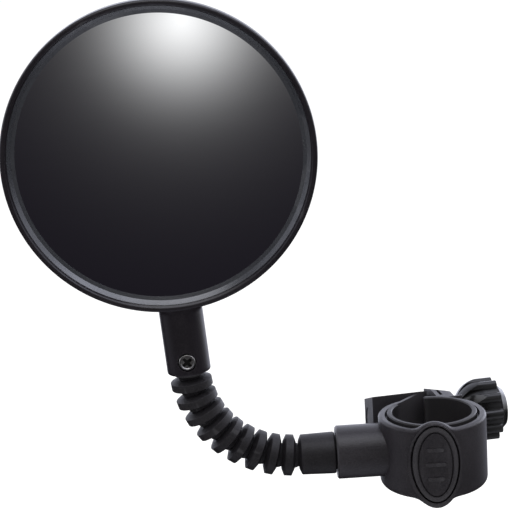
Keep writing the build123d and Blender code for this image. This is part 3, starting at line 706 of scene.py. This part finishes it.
def stem_screw():
    """Cross-head screw: a rim round a dished face, and a cross recess with painted shade in a darker steel.
    """
    bm = bmesh.new()
    across = side_of(HEAD_AXIS)
    third = HEAD_AXIS.cross(across)

    def ring(radius, height_at):
        points = []
        for i in range(SCREW_SEGMENTS):
            turn = 2 * math.pi * i / SCREW_SEGMENTS
            spoke = across * math.cos(turn) + third * math.sin(turn)
            height = HEAD_AXIS * height_at(radius, turn) * MM
            points.append(bm.verts.new(SCREW_CENTRE + height + spoke * radius * MM))
        return points

    rings = [[bm.verts.new(SCREW_CENTRE + HEAD_AXIS * CROSS_FLOOR * MM)]]
    rings += [ring(SCREW_R * k / SCREW_RINGS, screw_height) for k in range(1, SCREW_RINGS + 1)]
    shank = ((SCREW_R, SCREW_SEAT_HEIGHT), (SCREW_SHANK_R, SCREW_SEAT_HEIGHT), (SCREW_SHANK_R, SCREW_TIP))
    for radius, height in shank:
        rings.append(ring(radius, lambda r, t, level=height: level))
    rings.append([bm.verts.new(SCREW_CENTRE + HEAD_AXIS * SCREW_TIP * MM)])
    skin(bm, rings)
    mesh = to_mesh(bm, "stem_screw_head")
    obj = place("stem_screw_head", mesh)
    stand_in(obj, "head", BRIGHT, "steel", "stem_screw")
    mesh.materials.append(STEEL)
    for face in mesh.polygons:
        # painted shade: the cross recess and the shank take the darker steel, the rim and dish the bright
        # zinc
        face.use_smooth = True
        height = (face.center - SCREW_CENTRE).dot(HEAD_AXIS) / MM
        face.material_index = 1 if height < SCREW_TOP - SCREW_SHADE_DEPTH else 0
    mesh.set_sharp_from_angle(angle=math.radians(40.0))


stem_screw()

# ---------------------------------------------------------------- CAD nodes that stay
FINISH = {
    "clamp_body": (CLAMP, 0.25), "bar_liner": (LINER, 0.15), "badge_insert": (CLAMP, 0.12),
    "clamp_bolt": (STEEL, 0.12), "knob_washer": (STEEL, 0.10), "knob_body": (KNOB, 0.30),
    "knob_insert": (BRASS, 0.10), "knob_cap": (KNOB, 0.15), "swivel_screw": (STEEL, 0.08),
    "neck_top_plug": (NECK, 0.08), "adhesive_pad": (FOAM, 0.10),
}
for node_name, (material, width) in FINISH.items():
    paint(nodes[node_name], material)
    soften(nodes[node_name], width)

# ---------------------------------------------------------------- stage
FLOOR_Z = -0.175
FLOOR_SIZE = 12.0
FLOOR_GLOW = 0.10
WHITE = (1.0, 1.0, 1.0, 1.0)


def pale_floor():
    """A pale floor below the lowest reach of the arm; reflections don't see it."""
    bpy.ops.mesh.primitive_plane_add(size=FLOOR_SIZE, location=(0, 0, FLOOR_Z))
    floor = bpy.context.object
    floor.name = "floor"
    material = new_material("pale_floor")
    t = Tree(material)
    coords = t.add("ShaderNodeTexCoord").outputs["Object"]
    matte = t.add("ShaderNodeBsdfDiffuse")
    t.link(t.mix(t.noise(coords, 3.0, 2.0), 0.93, 0.95), matte.inputs["Color"])
    clear = t.add("ShaderNodeBsdfTransparent")
    glow = t.add("ShaderNodeEmission", {"Color": WHITE, "Strength": FLOOR_GLOW})
    lit = t.add("ShaderNodeAddShader")
    t.link(matte.outputs[0], lit.inputs[0])
    t.link(glow.outputs[0], lit.inputs[1])
    t.surface(t.by_ray(lit.outputs[0], clear.outputs[0]))
    paint(floor, material)


pale_floor()


def direction(azimuth, elevation):
    """Unit vector towards an azimuth measured from -Y towards +X, and an elevation."""
    a, e = math.radians(azimuth), math.radians(elevation)
    return Vector((math.sin(a) * math.cos(e), -math.cos(a) * math.cos(e), math.sin(e)))


# soft panels seen in reflections: azimuth, elevation, outer and inner angle, brightness
PANELS = ((80.0, 32.0, 42.0, 12.0, 1.25), (-95.0, 18.0, 44.0, 12.0, 1.0), (-10.0, 76.0, 34.0, 8.0, 1.8),
          (0.0, -70.0, 42.0, 18.0, 0.4), (180.0, 22.0, 58.0, 30.0, 1.5), (132.0, 6.0, 28.0, 10.0, 2.6),
          (95.0, 55.0, 30.0, 8.0, 2.6))
PANEL_TINT = (0.93, 0.96, 1.12)
ROOM_TINT = (0.0100, 0.0086, 0.0128)
# the glow in front: where it is, and the strength and fading of its core and its tail, in degrees
GLOW_AT = (1.5, 4.0)
GLOW_CORE = 0.66
GLOW_CORE_SPREAD = 42
GLOW_TAIL = 0.475
GLOW_TAIL_FADE = 0.18
EULER = 2.71828


def studio_world():
    """White surroundings; reflections see a dark room with a soft glow in front and panels around."""
    world = bpy.data.worlds.new("studio")
    bpy.context.scene.world = world
    world.use_nodes = True
    t = Tree(world)
    ray = t.add("ShaderNodeTexCoord").outputs["Generated"]

    def facing(azimuth, elevation):
        aim = t.add("ShaderNodeVectorMath", operation="DOT_PRODUCT")
        t.link(ray, aim.inputs[0])
        aim.inputs[1].default_value = direction(azimuth, elevation)
        return aim.outputs["Value"]

    # the glow fades with the angle from its middle: a round core and a long tail
    cosine = t.math("MINIMUM", facing(*GLOW_AT), 1.0)
    angle = t.math("MULTIPLY", t.math("ARCCOSINE", cosine, 0.0), math.degrees(1.0))
    fall = t.math("MULTIPLY", t.math("MULTIPLY", angle, angle), -1 / GLOW_CORE_SPREAD)
    core = t.math("MULTIPLY", t.math("POWER", EULER, fall), GLOW_CORE)
    fall = t.math("MULTIPLY", angle, -GLOW_TAIL_FADE)
    tail = t.math("MULTIPLY", t.math("POWER", EULER, fall), GLOW_TAIL)
    front = t.add("ShaderNodeVectorMath", operation="ADD")
    t.link(t.math("ADD", core, tail), front.inputs[0])
    front.inputs[1].default_value = ROOM_TINT
    room = 0.0
    for azimuth, elevation, outer, inner, power in PANELS:
        limits = {"From Min": math.cos(math.radians(outer)), "From Max": math.cos(math.radians(inner)),
                  "To Min": 0.0, "To Max": power}
        glow = t.add("ShaderNodeMapRange", limits, interpolation_type="SMOOTHSTEP")
        t.link(facing(azimuth, elevation), glow.inputs["Value"])
        room = t.math("ADD", room, glow.outputs["Result"])
    tinted = t.add("ShaderNodeVectorMath", operation="MULTIPLY_ADD")
    t.link(room, tinted.inputs[0])
    tinted.inputs[1].default_value = PANEL_TINT
    t.link(front.outputs[0], tinted.inputs[2])
    seen = t.add("ShaderNodeBackground", {"Strength": 1.0})
    t.link(tinted.outputs[0], seen.inputs["Color"])
    plain = t.add("ShaderNodeBackground", {"Color": WHITE, "Strength": 1.0})
    t.surface(t.by_ray(plain.outputs[0], seen.outputs[0]), "ShaderNodeOutputWorld")


studio_world()


# softboxes: name, azimuth, elevation, distance, size and power
SOFTBOXES = (("key", -20.0, 62.0, 1.1, (0.9, 0.9), 4.0),
             ("rim_right", 105.0, 15.0, 0.9, (0.5, 0.9), 1.3),
             ("rim_left", -105.0, 25.0, 0.9, (0.5, 0.9), 1.5))
LIGHT_TARGET = Vector((-0.03, 0, 0.04))


def softbox(name, azimuth, elevation, distance, size, power):
    """A rectangular light that faces the object from a direction."""
    light = bpy.data.lights.new(name, "AREA")
    light.shape = "RECTANGLE"
    light.size, light.size_y = size
    light.energy = power
    obj = place(name, light)
    obj.location = LIGHT_TARGET + direction(azimuth, elevation) * distance
    obj.rotation_euler = (LIGHT_TARGET - obj.location).to_track_quat("-Z", "Y").to_euler()


for box in SOFTBOXES:
    softbox(*box)

# ---------------------------------------------------------------- camera
CAMERA_PLACE = Vector((-54.66, -470.52, 176.39)) * MM
CAMERA_YAW = math.radians(0.984)
CAMERA_PITCH = math.radians(14.061)
CAMERA_ROLL = math.radians(-3.403)
CAMERA_LENS = 126.06
CAMERA_SENSOR = 36.0
CAMERA_CLIP = 0.01


def photo_camera():
    """The camera fitted to the object's outlines in the photo."""
    forward = Vector((math.sin(CAMERA_YAW) * math.cos(CAMERA_PITCH),
                      math.cos(CAMERA_YAW) * math.cos(CAMERA_PITCH), -math.sin(CAMERA_PITCH)))
    right = Vector((math.cos(CAMERA_YAW), -math.sin(CAMERA_YAW), 0))
    up = right.cross(forward)
    turned = right * math.cos(CAMERA_ROLL) + up * math.sin(CAMERA_ROLL)
    upward = up * math.cos(CAMERA_ROLL) - right * math.sin(CAMERA_ROLL)
    data = bpy.data.cameras.new("camera")
    data.lens = CAMERA_LENS
    data.sensor_width = CAMERA_SENSOR
    data.clip_start = CAMERA_CLIP
    camera = place("camera", data)
    basis = Matrix((turned, upward, -forward)).transposed().to_4x4()
    camera.matrix_world = Matrix.Translation(CAMERA_PLACE) @ basis
    bpy.context.scene.camera = camera


photo_camera()
bpy.context.scene.view_settings.view_transform = "Standard"
bpy.context.scene.view_settings.look = "None"
